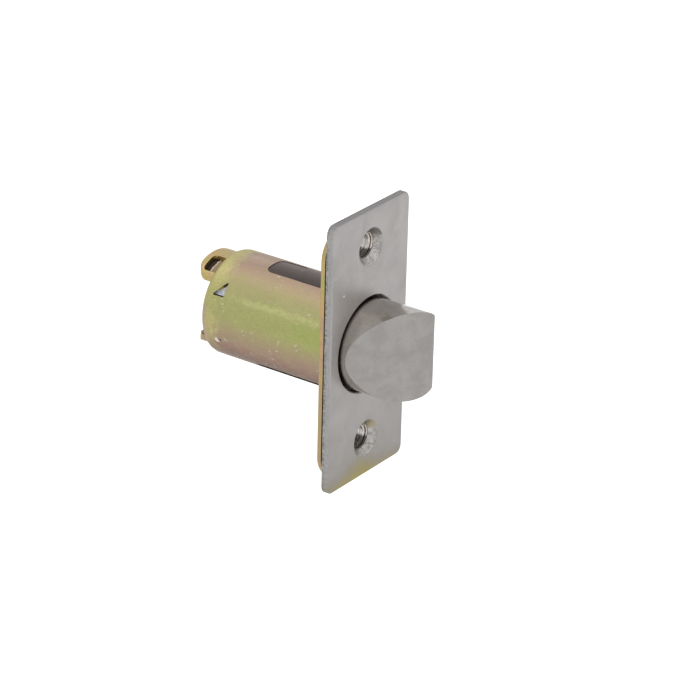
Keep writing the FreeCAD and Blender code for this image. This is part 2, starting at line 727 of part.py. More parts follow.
# Spring: wire wound about the tail, from the bolt's cup to the cap's end wall
wire_radius = (dim("wire_dia") / 2).value
coil_radius = spring_out.value - wire_radius
coil_front = (cup_floor - dim("seat_gap")).value - wire_radius
coil_rear = (cap_wall_front + dim("seat_gap")).value + wire_radius
turns = dim("spring_turns").value
end_turns = dim("spring_end_turns").value
close_pitch = (dim("wire_dia") + dim("seat_gap")).value
open_turns = turns - 2 * end_turns
open_pitch = (coil_front - coil_rear - 2 * end_turns * close_pitch) / open_turns


def wire_place(turn):
    """The middle of the wire after this many turns, close at both ends and open between."""
    first = min(turn, end_turns)
    middle = min(max(turn - end_turns, 0), open_turns)
    last = max(turn - end_turns - open_turns, 0)
    along = coil_rear + (first + last) * close_pitch + middle * open_pitch
    angle = 2 * math.pi * turn
    return FreeCAD.Vector(along, coil_radius * math.cos(angle), coil_radius * math.sin(angle))


steps = int(dim("spring_steps").value)
path = [wire_place(i / steps) for i in range(int(turns * steps) + 1)]
heading = path[1] - path[0]
outward = FreeCAD.Vector(0, 1, 0)
across = heading.cross(outward).normalize()
corners = []
for i in range(7):
    angle = math.pi / 3 * i
    corners.append(path[0] + (outward * math.cos(angle) + across * math.sin(angle)) * wire_radius)
section = Part.makePolygon(corners)
spring = doc.addObject("Part::Feature", "bolt_spring")
spring.Label = "bolt_spring"
spring.Shape = Part.makePolygon(path).makePipeShell([section], True, False, 1)
doc.recompute()

# Every object is checked before any file is written
PIECES = [faceplate, backing, tube, sleeve, cap, bolt, tail, pin, spring]
for item in doc.Objects:
    if "Invalid" in item.State or "Error" in item.State:
        raise RuntimeError(f"{item.Name} failed: {item.State}")
os.makedirs("parts", exist_ok=True)
for piece in PIECES:
    shape = piece.Shape
    if shape.isNull() or not shape.isValid() or len(shape.Solids) != 1:
        raise RuntimeError(f"{piece.Label} is not one valid solid")
for piece in PIECES:
    piece.Shape.exportStep(f"parts/{piece.Label}.step")
    print(piece.Label, round(piece.Shape.Volume, 3))
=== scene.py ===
# %% [markdown]
# # Dressing a tubular door latch
# The latch comes from its construction model as nine solids: a face plate, an inner plate,
# a case tube, a plastic guide sleeve, a cap with two prongs, a bevelled bolt, a tail, a pin
# and a spring. Their sizes and places are fixed. This lesson gives them softened edges,
# real screw threads, a round-wire spring and their metal finishes, in Blender, step by step.

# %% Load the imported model
import json
import math

import bmesh
import bpy
from mathutils import Matrix, Vector

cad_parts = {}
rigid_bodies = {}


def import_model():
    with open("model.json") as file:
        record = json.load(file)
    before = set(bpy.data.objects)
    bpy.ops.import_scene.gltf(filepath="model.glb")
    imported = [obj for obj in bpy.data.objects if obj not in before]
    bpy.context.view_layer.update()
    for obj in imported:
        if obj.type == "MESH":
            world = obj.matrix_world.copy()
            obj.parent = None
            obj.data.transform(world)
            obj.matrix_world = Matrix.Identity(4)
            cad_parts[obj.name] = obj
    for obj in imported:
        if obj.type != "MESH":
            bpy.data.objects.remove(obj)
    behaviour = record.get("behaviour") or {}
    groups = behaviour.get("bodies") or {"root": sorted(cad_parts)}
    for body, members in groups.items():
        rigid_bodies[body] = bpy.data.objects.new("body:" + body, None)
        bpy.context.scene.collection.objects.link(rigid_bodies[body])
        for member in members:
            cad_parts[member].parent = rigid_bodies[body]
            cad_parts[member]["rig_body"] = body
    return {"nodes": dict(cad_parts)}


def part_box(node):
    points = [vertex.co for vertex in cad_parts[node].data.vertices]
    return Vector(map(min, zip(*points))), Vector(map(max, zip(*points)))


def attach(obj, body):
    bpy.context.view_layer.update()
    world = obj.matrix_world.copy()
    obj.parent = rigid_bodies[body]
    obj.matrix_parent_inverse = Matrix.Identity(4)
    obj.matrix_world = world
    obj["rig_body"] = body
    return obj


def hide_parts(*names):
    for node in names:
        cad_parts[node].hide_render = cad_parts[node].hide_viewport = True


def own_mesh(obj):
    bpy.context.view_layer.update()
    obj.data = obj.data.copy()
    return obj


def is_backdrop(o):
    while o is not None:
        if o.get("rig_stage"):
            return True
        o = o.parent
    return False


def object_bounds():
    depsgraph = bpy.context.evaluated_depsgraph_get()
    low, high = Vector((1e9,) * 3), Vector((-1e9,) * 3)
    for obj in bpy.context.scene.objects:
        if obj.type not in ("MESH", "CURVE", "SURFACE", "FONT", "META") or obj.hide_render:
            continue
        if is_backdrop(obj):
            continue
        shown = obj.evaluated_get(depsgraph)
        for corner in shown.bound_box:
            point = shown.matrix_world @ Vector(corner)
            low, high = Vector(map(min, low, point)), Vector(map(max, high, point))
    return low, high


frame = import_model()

cad_low, cad_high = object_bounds()
nodes = frame["nodes"]
print("pieces:", ", ".join(sorted(nodes)))
print("box in mm:", [round(v * 1000, 2) for v in (*cad_low, *cad_high)])

# %% [markdown]
# ## The camera
# The photograph was taken from the bevel side of the bolt, 25 degrees above it, through a
# long lens. Such a camera can be placed by eye with a target and a distance. Here its
# place and its three axes are written out, because the outlines of the plate and the tube
# fix them to a tenth of a degree, and the picture then lies on the photograph.

# %% Place the camera
CAMERA_PLACE = Vector((0.3297405, -0.4748492, 0.2686391))
CAMERA_RIGHT = Vector((0.811145, 0.584362, 0.023769))
CAMERA_DOWN = Vector((0.264945, -0.330928, -0.905699))
SENSOR_MM = 36
LENS_MM = 167.48
camera_back = CAMERA_RIGHT.cross(-CAMERA_DOWN)
lens = bpy.data.cameras.new("long_lens")
lens.sensor_width = SENSOR_MM
lens.lens = LENS_MM
lens.clip_start = 0.01
camera = bpy.data.objects.new("camera", lens)
facing = Matrix((CAMERA_RIGHT, -CAMERA_DOWN, camera_back)).transposed().to_4x4()
camera.matrix_world = Matrix.Translation(CAMERA_PLACE) @ facing
bpy.context.scene.collection.objects.link(camera)
bpy.context.scene.camera = camera
print("camera", round(CAMERA_PLACE.length * 1000), "mm from the face plate")

# %% [markdown]
# ## Helpers for node trees
# A material is a graph. Written out in full, each node takes four lines, and the idea is
# lost among them. These helpers add one node, set its sockets from plain values or from
# other sockets, and hand back what the next node needs.


# %% Node helpers
def srgb(red, green, blue):
    """A colour as a paint chart gives it (0 to 255), in Blender's linear light."""
    def channel(value):
        value /= 255
        return value / 12.92 if value <= 0.04045 else ((value + 0.055) / 1.055) ** 2.4
    return (channel(red), channel(green), channel(blue), 1.0)


def add(tree, kind, values=None, **settings):
    """Add a node; values sets or links its inputs by name or number."""
    node = tree.nodes.new(kind)
    for key, value in settings.items():
        setattr(node, key, value)
    for key, value in (values or {}).items():
        if isinstance(value, bpy.types.NodeSocket):
            tree.links.new(value, node.inputs[key])
        else:
            node.inputs[key].default_value = value
    return node


def calc(tree, operation, first, second=0.0, third=0.0, clamp=False):
    """One step of arithmetic on numbers."""
    values = {0: first, 1: second, 2: third}
    return add(tree, "ShaderNodeMath", values, operation=operation, use_clamp=clamp).outputs[0]


def blend(tree, share, first, second):
    """Lay the second colour over the first by a share from 0 to 1."""
    values = {0: share, 6: first, 7: second}
    return add(tree, "ShaderNodeMix", values, data_type="RGBA").outputs[2]


def ramp(tree, share, stops):
    """A row of colours along a value from 0 to 1."""
    node = add(tree, "ShaderNodeValToRGB", {0: share})
    line = node.color_ramp
    while len(line.elements) < len(stops):
        line.elements.new(0.5)
    for element, (place, colour) in zip(line.elements, stops):
        element.position = place
        element.color = colour
    return node.outputs[0]


def noise(tree, place, size_mm, detail=2.0, roughness=0.5, warp=0.0):
    """Soft random patches about this many millimetres across, from a place in metres."""
    values = {"Vector": place, "Scale": 1000 / size_mm, "Detail": detail,
              "Roughness": roughness, "Distortion": warp}
    return add(tree, "ShaderNodeTexNoise", values).outputs["Fac"]


print("node helpers ready")

# %% [markdown]
# ## Masks
# A mask is a number from 0 to 1 that says where an effect shows. Every finish below is one
# colour with others laid over it, each through the product of a few masks. The masks
# could be painted by hand, but those that follow a measured edge or a height stay sharp at
# any size. The usual steps get names here, so that a layer fits on one line.


# %% Mask helpers
def between(tree, value, low, high, out_low=0.0, out_high=1.0, soft=True):
    """Carry a value from one range to another, held at both ends."""
    kind = "SMOOTHSTEP" if soft else "LINEAR"
    values = {0: value, 1: low, 2: high, 3: out_low, 4: out_high}
    return add(tree, "ShaderNodeMapRange", values, interpolation_type=kind).outputs[0]


def times(tree, *factors):
    """The product of masks and plain numbers."""
    product = factors[0]
    for factor in factors[1:]:
        product = calc(tree, "MULTIPLY", product, factor)
    return product


def band(tree, value, start, full, thinning, end):
    """A mask that rises from start to full and falls again from thinning to end."""
    rising = between(tree, value, start, full)
    return times(tree, rising, between(tree, value, end, thinning))


def away(tree, value, middle=0.0):
    """How far a value is from a middle, on either side of it."""
    return calc(tree, "ABSOLUTE", calc(tree, "SUBTRACT", value, middle))


def over(tree, base, colour, *shares):
    """Lay a colour over the base through the product of masks and shares."""
    return blend(tree, times(tree, *shares), base, colour)


print("mask helpers ready")

# %% [markdown]
# ## Effects that several finishes share
# Plated sheet, the cast bolt and the zinc-coated tube all show three things: cloudy
# patches where the finish took unevenly, small scratches from handling, and grains too fine
# to see one by one. Painted images could show them, but they need unwrapping and stretch on
# a tube. Noise in the object's own space has neither fault, so each effect is a group
# that is built once and placed in every material with its own values.


# %% Group helpers
def new_group(name, inputs, outputs):
    """A shader node group; inputs and outputs are lists of (name, kind, default)."""
    tree = bpy.data.node_groups.new(name, "ShaderNodeTree")
    for way, rows in (("INPUT", inputs), ("OUTPUT", outputs)):
        for title, kind, *default in rows:
            socket = tree.interface.new_socket(
                title, in_out=way, socket_type="NodeSocket" + kind)
            if default:
                socket.default_value = default[0]
    source = tree.nodes.new("NodeGroupInput").outputs
    sink = tree.nodes.new("NodeGroupOutput").inputs
    return tree, source, sink


def use(tree, group, **values):
    """Place a group in a material; underscores in the names stand for spaces."""
    node = tree.nodes.new("ShaderNodeGroup")
    node.node_tree = group
    for key, value in values.items():
        key = key.replace("_", " ")
        if isinstance(value, bpy.types.NodeSocket):
            tree.links.new(value, node.inputs[key])
        else:
            node.inputs[key].default_value = value
    return node.outputs


print("group helpers ready")

# %% Cloud group
cloud, source, sink = new_group(
    "cloudy_patches",
    [("Place", "Vector"), ("Size mm", "Float", 4.0), ("Sharpness", "Float", 0.3)],
    [("Mask", "Float")],
)
scaled = add(cloud, "ShaderNodeVectorMath", {0: source["Place"]}, operation="SCALE")
per_size = calc(cloud, "DIVIDE", 1000.0, source["Size mm"])
cloud.links.new(per_size, scaled.inputs["Scale"])
coarse = add(cloud, "ShaderNodeTexNoise", {
    "Vector": scaled.outputs[0], "Scale": 1.0, "Detail": 3.0, "Roughness": 0.55,
    "Distortion": 0.6,
}).outputs["Fac"]
edge_low = calc(cloud, "MULTIPLY_ADD", source["Sharpness"], 0.25, 0.2)
edge_high = calc(cloud, "SUBTRACT", 1.0, edge_low)
cloud.links.new(between(cloud, coarse, edge_low, edge_high), sink["Mask"])
print("group", cloud.name)

# %% [markdown]
# A scratch is a cell of a Voronoi pattern that is drawn out in one direction, so that the
# near part of each cell becomes a thin stroke. Each cell also has a random colour, and a
# limit on it picks about half of the cells, because evenly spread scratches look printed.

# %% Scratch group
scratches, source, sink = new_group(
    "handling_scratches",
    [("Place", "Vector"), ("Spacing mm", "Float", 2.0), ("Length", "Float", 4.0),
     ("Turn", "Float", 0.0), ("Amount", "Float", 0.5)],
    [("Mask", "Float"), ("Height", "Float")],
)
axis = add(scratches, "ShaderNodeCombineXYZ", {"X": 0.5, "Y": 0.8, "Z": 0.33}).outputs[0]
turned = add(scratches, "ShaderNodeVectorRotate",
             {"Vector": source["Place"], "Axis": axis, "Angle": source["Turn"]}).outputs[0]
across = calc(scratches, "DIVIDE", 1000.0, source["Spacing mm"])
along = calc(scratches, "DIVIDE", across, source["Length"])
ratio = add(scratches, "ShaderNodeCombineXYZ", {"X": along, "Y": across, "Z": across})
drawn = add(scratches, "ShaderNodeVectorMath", {0: turned, 1: ratio.outputs[0]},
            operation="MULTIPLY").outputs[0]
cells = add(scratches, "ShaderNodeTexVoronoi",
            {"Vector": drawn, "Scale": 1.0, "Randomness": 1.0}).outputs
chance = add(scratches, "ShaderNodeSeparateColor", {0: cells["Color"]}).outputs[0]
reach = calc(scratches, "MULTIPLY", source["Amount"], 0.34)
near = between(scratches, cells["Distance"], 0.0, reach, 1.0, 0.0)
mark = times(scratches, near, between(scratches, chance, 0.45, 0.6))
scratches.links.new(mark, sink["Mask"])
scratches.links.new(times(scratches, mark, -1.0), sink["Height"])
print("group", scratches.name)

# %% Grain group
grain, source, sink = new_group(
    "fine_grain",
    [("Place", "Vector"), ("Size mm", "Float", 0.3), ("Stretch", "Float", 1.0)],
    [("Mask", "Float"), ("Height", "Float")],
)
across = calc(grain, "DIVIDE", 1000.0, source["Size mm"])
along = calc(grain, "DIVIDE", across, source["Stretch"])
ratio = add(grain, "ShaderNodeCombineXYZ", {"X": across, "Y": across, "Z": along})
drawn = add(grain, "ShaderNodeVectorMath", {0: source["Place"], 1: ratio.outputs[0]},
            operation="MULTIPLY").outputs[0]
speck = add(grain, "ShaderNodeTexNoise",
            {"Vector": drawn, "Scale": 1.0, "Detail": 2.0}).outputs["Fac"]
grain.links.new(between(grain, speck, 0.3, 0.7), sink["Mask"])
grain.links.new(speck, sink["Height"])
print("group", grain.name)

# %% [markdown]
# Yellow zinc plating is a thin clear film over bright zinc. Its thickness wanders, so its
# colour wanders too, from straw through pink and mauve to green, as on a soap bubble. A true
# thin-film shader changes with the view and can't be exported. A colour that wanders with
# the place on the metal looks the same from every side, and that is what real plating does.

# %% Zinc film group
FILM_TINTS = [
    (0.00, srgb(176, 150, 128)), (0.25, srgb(190, 166, 122)), (0.45, srgb(194, 172, 118)),
    (0.62, srgb(182, 176, 112)), (0.80, srgb(168, 172, 104)), (1.00, srgb(178, 158, 134)),
]
film, source, sink = new_group(
    "zinc_film",
    [("Place", "Vector"), ("Patch mm", "Float", 7.0), ("Lean", "Float", 0.0)],
    [("Colour", "Color"), ("Grit", "Float")],
)
patch = use(film, cloud, Place=source["Place"], Size_mm=source["Patch mm"],
            Sharpness=0.2)["Mask"]
finer = calc(film, "SUBTRACT", noise(film, source["Place"], 1.6, 3.0), 0.5)
wander = calc(film, "MULTIPLY_ADD", finer, 0.5, patch)
tint = ramp(film, calc(film, "ADD", wander, source["Lean"], clamp=True), FILM_TINTS)
grit = noise(film, source["Place"], 0.35, 2.0)
film.links.new(over(film, tint, srgb(160, 150, 96), grit, 0.35), sink["Colour"])
film.links.new(grit, sink["Grit"])
print("group", film.name)

# %% [markdown]
# ## Starting and ending a material
# Every finish begins in the same way: a Principled shader, an output, and the object's own
# coordinates. Constants such as the share of metal are set on the shader itself, because
# a value that comes through a chain of nodes is lost when the model is exported. It also
# ends in the same way, with a colour, a roughness and a relief that go to the shader.


# %% Material start and end
def start_material(name, metallic, roughness):
    """A new material; gives its tree, its shader and the place on the piece."""
    material = bpy.data.materials.new(name)
    material.use_nodes = True
    tree = material.node_tree
    shader = tree.nodes["Principled BSDF"]
    shader.inputs["Metallic"].default_value = metallic
    shader.inputs["Roughness"].default_value = roughness
    place = tree.nodes.new("ShaderNodeTexCoord").outputs["Object"]
    return material, tree, shader, place


def join_up(tree, shader, colour, roughness, height, depth):
    """Link colour and roughness, and raise the surface by height times depth in metres."""
    tree.links.new(colour, shader.inputs["Base Color"])
    tree.links.new(roughness, shader.inputs["Roughness"])
    bump = add(tree, "ShaderNodeBump", {"Height": height, "Distance": depth, "Strength": 1.0})
    tree.links.new(bump.outputs[0], shader.inputs["Normal"])


print("material helpers ready")

# %% [markdown]
# ## Places on the latch
# Dirt, wear and changes of colour have places: the foot of the plate, the underside of the
# tube, one side of a screw hole. Painted images would need those places again in their
# own layout. Here three helpers turn a point's coordinates into the numbers that a fitter
# would use: millimetres, the way round the tube, and the height above a screw.

# %% Place helpers
SCREW_MM = 20.65


def axes_of(tree, place):
    """The three coordinates of a place, each in millimetres."""
    scaled = add(tree, "ShaderNodeVectorMath", {0: place, "Scale": 1000.0}, operation="SCALE")
    return add(tree, "ShaderNodeSeparateXYZ", {0: scaled.outputs[0]}).outputs


def round_the_tube(tree, y, z):
    """The way round the tube: 0 on top, 0.5 at either side and 1 at the bottom."""
    angle = calc(tree, "ARCTAN2", calc(tree, "MULTIPLY", y, -1.0), z)
    return calc(tree, "DIVIDE", calc(tree, "ABSOLUTE", angle), math.pi)


def beyond_screw(tree, z):
    """Height above the axis of the nearer screw hole, in millimetres."""
    outward = calc(tree, "SUBTRACT", calc(tree, "ABSOLUTE", z), SCREW_MM)
    return calc(tree, "MULTIPLY", outward, calc(tree, "SIGN", z))


print("screws", SCREW_MM, "mm above and below the bolt")

# %% [markdown]
# ## Satin plating on the face plate
# The front is steel with a satin nickel-like plating: light grey, nearly even, cloudy on a
# scale of millimetres, with a fine vertical grain. It is built in layers, the widest
# first, and painted shade darkens it a little towards the foot.

# %% Face plate: plated face
satin, tree, shader, place = start_material("satin_plated_steel", 1.0, 0.36)
x, y, z = axes_of(tree, place)
patches = use(tree, cloud, Place=place, Size_mm=5.0, Sharpness=0.3)["Mask"]
fine = use(tree, grain, Place=place, Size_mm=0.16, Stretch=5.0)
marks = use(tree, scratches, Place=place, Spacing_mm=2.6, Length=5.0, Turn=0.9, Amount=0.16)
wide = use(tree, cloud, Place=place, Size_mm=14.0, Sharpness=0.2)["Mask"]
# painted shade: the face grows darker towards the foot, with a wavy upper border
uneven_z = calc(tree, "MULTIPLY_ADD", wide, 6.0, z)
painted_foot_shade = between(tree, uneven_z, 2.0, -27.0, soft=False)
base = blend(tree, patches, srgb(184, 181, 179), srgb(174, 171, 169))
base = over(tree, base, srgb(166, 163, 162), wide, 0.4)
base = over(tree, base, srgb(158, 157, 156), fine["Mask"], 0.22)
base = over(tree, base, srgb(146, 142, 139), painted_foot_shade, 0.7)
base = over(tree, base, srgb(206, 206, 206), marks["Mask"], 0.5)
print("plated face ready")

# %% [markdown]
# The plate is sheared from sheet, and its edges are darker and speckled, with torn dots
# along the back. A bevel alone wouldn't show that. The mask is the distance outward from
# a rounded rectangle, worked out as for the plate itself: the corner's radius is taken off
# both half sizes, and what is left over in y and z is joined as by Pythagoras.

# %% Face plate: sheared edges
CORNER_MM = 1.8
plate_low, plate_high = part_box("faceplate")
plate_half = (plate_high - plate_low) * 500
side_y = calc(tree, "SUBTRACT", calc(tree, "ABSOLUTE", y), plate_half.y - CORNER_MM)
side_z = calc(tree, "SUBTRACT", calc(tree, "ABSOLUTE", z), plate_half.z - CORNER_MM)
past_y = calc(tree, "POWER", calc(tree, "MAXIMUM", side_y, 0.0), 2.0)
past_z = calc(tree, "POWER", calc(tree, "MAXIMUM", side_z, 0.0), 2.0)
outward = calc(tree, "SQRT", calc(tree, "ADD", past_y, past_z))
sheared = between(tree, outward, CORNER_MM - 0.22, CORNER_MM - 0.02)
speckle = between(tree, noise(tree, place, 0.45, 3.0, 0.7), 0.4, 0.6)
torn = times(tree, between(tree, x, -0.75, -1.35), between(tree, speckle, 0.7, 0.2))
# painted shade: the plate's top edge, which faces up, is darker than the other edges
shaded_top_edge = times(tree, between(tree, side_z, 0.6, 1.5), between(tree, z, 20.0, 24.0))
edge_tone = blend(tree, speckle, srgb(162, 160, 159), srgb(174, 172, 171))
edge_tone = over(tree, edge_tone, srgb(134, 132, 132), shaded_top_edge, 0.8)
edge_tone = over(tree, edge_tone, srgb(100, 97, 94), torn, 0.6)
base = blend(tree, sheared, base, edge_tone)
print("plate's half size in mm:", round(plate_half.y, 3), round(plate_half.z, 3))

# %% [markdown]
# Some of the yellow of the parts behind the plate has crept over its lower edge. It is
# strongest near the middle of the foot and climbs less towards the corners, so its height
# depends on the distance from that middle, and noise frays it. A wider grey-brown halo
# lies under it.

# %% Face plate: stain at the foot
STAIN_Y = -2.6
blot = noise(tree, place, 2.6, 3.0)
fine_blot = noise(tree, place, 0.9, 3.0)
spread = calc(tree, "MULTIPLY_ADD", away(tree, y, STAIN_Y), 0.27, z)
spread = calc(tree, "MULTIPLY_ADD", blot, 4.0, spread)
halo = between(tree, calc(tree, "MULTIPLY_ADD", fine_blot, 1.5, spread), -18.0, -24.0)
base = over(tree, base, srgb(144, 136, 118), halo, 0.7)
stain = between(tree, calc(tree, "MULTIPLY_ADD", fine_blot, 2.5, spread), -20.4, -24.6)
base = over(tree, base, srgb(164, 152, 92), stain,
            between(tree, fine_blot, 0.3, 0.58, 0.35, 0.95))
print("stain at the foot ready")

# %% [markdown]
# The cones of the countersinks are brighter than the face, with turned marks, painted
# shade on their upper part, and a tan rest of oil in the lower one. A point is on a cone
# when it is near a screw's axis and below the plate's face.

# %% Face plate: countersinks
CONE_MM = 4.3
above = beyond_screw(tree, z)
upper, lower = between(tree, z, 0.0, 1.0), between(tree, z, 1.0, 0.0)
cone = times(tree, between(tree, x, -0.02, -0.14),
             between(tree, away(tree, y), CONE_MM + 0.3, CONE_MM),
             between(tree, away(tree, above), CONE_MM + 0.3, CONE_MM))
turned_marks = between(tree, noise(tree, place, 0.9, 3.0, 0.55, 1.2), 0.34, 0.64)
worn_cone = blend(tree, turned_marks, srgb(146, 143, 139), srgb(198, 195, 192))
base = over(tree, base, worn_cone, cone, 0.8)
# painted shade on the upper part of each cone; on the lower cone it fades out towards +y
shaded = between(tree, calc(tree, "MULTIPLY_ADD", fine_blot, 2.0, above), 1.6, 3.6)
cone_shade_side = between(tree, calc(tree, "MULTIPLY_ADD", z, 0.08, y), 2.6, -0.2)
cone_shade_side = calc(tree, "MAXIMUM", cone_shade_side, upper)
base = over(tree, base, srgb(98, 95, 88), shaded, cone, cone_shade_side, 0.7)
oil_side = times(tree, between(tree, y, 0.6, 1.8), between(tree, above, 0.6, 1.6))
base = over(tree, base, srgb(166, 152, 120), oil_side, cone, lower, 0.75)
print("cones reach", CONE_MM, "mm from each screw's axis")

# %% Face plate: one bright nick, and joining up
NICK_PLACE = (0.0, -0.0087, 0.0132)
from_nick = add(tree, "ShaderNodeVectorMath", {0: place, 1: NICK_PLACE},
                operation="DISTANCE").outputs["Value"]
nick = between(tree, from_nick, 0.00034, 0.00012)
base = blend(tree, nick, base, srgb(240, 240, 240))
rough = calc(tree, "MULTIPLY_ADD", patches, 0.07, 0.36)
rough = calc(tree, "MULTIPLY_ADD", sheared, 0.12, rough)
height = calc(tree, "MULTIPLY_ADD", fine["Height"], 0.4, marks["Height"])
height = calc(tree, "MULTIPLY_ADD", times(tree, speckle, sheared), 1.2, height)
join_up(tree, shader, base, rough, height, 0.000012)
print("finish", satin.name)

# %% [markdown]
# ## The cast bolt
# The bolt is a casting with the same kind of plating, a little warmer and darker. Its bevel
# is tumbled dull, while its round side is polished by sliding in the sleeve. Two materials
# built by one function keep them related.


# %% Bolt finishes
def bolt_finish(name, patch_mm, light, dark, low_rough, high_rough, depth):
    """Plated casting, cloudy between two tones and two roughnesses."""
    material, tree, shader, place = start_material(name, 1.0, low_rough)
    patches = use(tree, cloud, Place=place, Size_mm=patch_mm, Sharpness=0.5)["Mask"]
    fine = use(tree, grain, Place=place, Size_mm=0.3, Stretch=1.0)
    marks = use(tree, scratches, Place=place, Spacing_mm=2.2, Length=3.0, Turn=2.1,
                Amount=0.16)
    base = blend(tree, patches, light, dark)
    base = over(tree, base, srgb(132, 129, 126), fine["Mask"], 0.16)
    base = over(tree, base, srgb(188, 186, 183), marks["Mask"], 0.35)
    rough = calc(tree, "MULTIPLY_ADD", patches, high_rough - low_rough, low_rough)
    height = calc(tree, "MULTIPLY_ADD", fine["Height"], 0.6, marks["Height"])
    join_up(tree, shader, base, rough, height, depth)
    return material


tumbled = bolt_finish("tumbled_bolt_bevel", 3.6, srgb(171, 168, 165), srgb(163, 160, 157),
                      0.40, 0.50, 0.00002)
slid = bolt_finish("polished_bolt_side", 4.0, srgb(202, 196, 190), srgb(188, 182, 176),
                   0.18, 0.25, 0.000006)
print("finishes", tumbled.name, "and", slid.name)

# %% [markdown]
# ## Yellow zinc on the case tube
# On the tube the film runs in bands along it: pink on top, straw and olive on the side,
# mauve below. The same ramp holds painted light: the top is lighter, and a dark band of
# painted shade lies on the underside. A band is a stretch of the way round the tube, so one
# ramp along that number gives them all, where a painted image would need the tube unrolled.
# Two noises, one wide and one fine, bend the bands, so that no border is straight.

# %% Tube: bands
# film colours with painted light: lighter on top, a dark band of painted shade below the side
TUBE_FILM_AND_SHADE = [
    (0.00, srgb(190, 164, 150)), (0.07, srgb(170, 143, 132)), (0.15, srgb(174, 150, 128)),
    (0.22, srgb(170, 160, 118)), (0.29, srgb(176, 172, 122)), (0.38, srgb(182, 184, 122)),
    (0.45, srgb(174, 175, 116)), (0.52, srgb(171, 157, 122)), (0.60, srgb(166, 140, 124)),
    (0.66, srgb(150, 118, 106)), (0.73, srgb(118, 90, 80)), (1.00, srgb(168, 144, 122)),
]
zinc, tree, shader, place = start_material("yellow_zinc_tube", 1.0, 0.36)
x, y, z = axes_of(tree, place)
level = round_the_tube(tree, y, z)
bend = calc(tree, "SUBTRACT", noise(tree, place, 9.0, 3.0, 0.55, 0.8), 0.5)
small_bend = calc(tree, "SUBTRACT", noise(tree, place, 1.3, 3.0), 0.5)
wavy = calc(tree, "MULTIPLY_ADD", bend, 0.11, level)
wavy = calc(tree, "MULTIPLY_ADD", small_bend, 0.06, wavy)
base = ramp(tree, wavy, TUBE_FILM_AND_SHADE)
print("tube has", len(TUBE_FILM_AND_SHADE), "bands")

# %% [markdown]
# Three places break the bands: a greener patch low on the side near the plate, a painted
# highlight along the tube, and the rolled rim at the rear, yellow with a pink lip. Each is
# a mask by the way round and by x.

# %% Tube: green patch, painted highlight and rim
HIGHLIGHT_LEVEL = 0.326
forward = between(tree, calc(tree, "MULTIPLY_ADD", bend, 16.0, x), -17.0, -6.0)
low_side = band(tree, wavy, 0.33, 0.38, 0.44, 0.50)
base = over(tree, base, srgb(172, 184, 104), forward, low_side, 0.55)
# painted highlight: a pale stripe along the tube, where a lamp's reflection would run
drift = calc(tree, "MULTIPLY_ADD", small_bend, 0.04, level)
drift = away(tree, calc(tree, "MULTIPLY_ADD", bend, 0.04, drift), HIGHLIGHT_LEVEL)
highlight_ends = band(tree, x, -29.0, -22.0, -7.0, -3.6)
base = over(tree, base, srgb(196, 198, 136), highlight_ends,
            between(tree, drift, 0.034, 0.0), 0.75)
rim = between(tree, calc(tree, "MULTIPLY_ADD", small_bend, 5.0, x), -28.4, -31.4)
base = over(tree, base, srgb(194, 187, 126), rim,
            between(tree, level, 0.72, 0.5, 0.2, 0.8))
pink_lip = between(tree, x, -31.7, -32.4)
lip_side = band(tree, level, 0.36, 0.46, 0.60, 0.72)
base = over(tree, base, srgb(186, 164, 146), pink_lip, lip_side, 0.85)
print("streak at", HIGHLIGHT_LEVEL, "of the way round")

# %% [markdown]
# Beside the lower slot lies a thin dark line of painted shadow, along the tube's lower
# outline.
# Metal seen at a slant mirrors what is behind it, however dark its colour is, so the
# line would shine white. The shader's tint for slanting light is therefore dark there.

# %% Tube: painted shadow beside the lower slot
wavering = calc(tree, "MULTIPLY_ADD", small_bend, 0.02, level)
slot_shadow_line = times(tree, band(tree, wavering, 0.748, 0.762, 0.79, 0.81),
                  between(tree, x, -22.6, -20.6), between(tree, y, 0.5, -0.5))
base = over(tree, base, srgb(40, 33, 29), slot_shadow_line, 0.9)
slant_tint = blend(tree, slot_shadow_line, (1.0, 1.0, 1.0, 1.0), (0.02, 0.02, 0.02, 1.0))
tree.links.new(slant_tint, shader.inputs["Specular Tint"])
print("dark line from x = -21 mm to the plate")

# %% [markdown]
# Up close the film is made of green and pink specks, and small bright marks are places
# where it is scratched down to the zinc. Marks spread evenly would look like snow, so they
# gather in zones, are short, and are broken up by a finer noise.

# %% Tube: specks and bare marks
specks = use(tree, grain, Place=place, Size_mm=0.34, Stretch=1.0)
green_specks = between(tree, noise(tree, place, 0.6, 2.0), 0.52, 0.66)
pink_specks = between(tree, noise(tree, place, 0.8, 3.0), 0.55, 0.7)
base = over(tree, base, srgb(150, 168, 92), green_specks,
            between(tree, level, 0.74, 0.56, 0.06, 0.34))
base = over(tree, base, srgb(184, 156, 138), pink_specks, 0.25)
base = over(tree, base, srgb(150, 140, 104), specks["Mask"], 0.18)
zone = between(tree, noise(tree, place, 6.0, 2.0), 0.46, 0.62)
rubbed = times(tree, band(tree, level, 0.43, 0.48, 0.52, 0.58),
               between(tree, noise(tree, place, 4.0, 1.0), 0.4, 0.52))
zone = calc(tree, "MAXIMUM", zone, rubbed)
nicks = use(tree, scratches, Place=place, Spacing_mm=0.8, Length=2.4, Turn=0.7, Amount=1.0)
broken = between(tree, noise(tree, place, 0.28, 2.0), 0.42, 0.52)
strokes = use(tree, scratches, Place=place, Spacing_mm=1.7, Length=4.0, Turn=2.6, Amount=0.3)
bare = times(tree, nicks["Mask"], zone, broken)
bare = calc(tree, "MAXIMUM", bare, times(tree, strokes["Mask"], 0.6))
print("specks and marks ready")

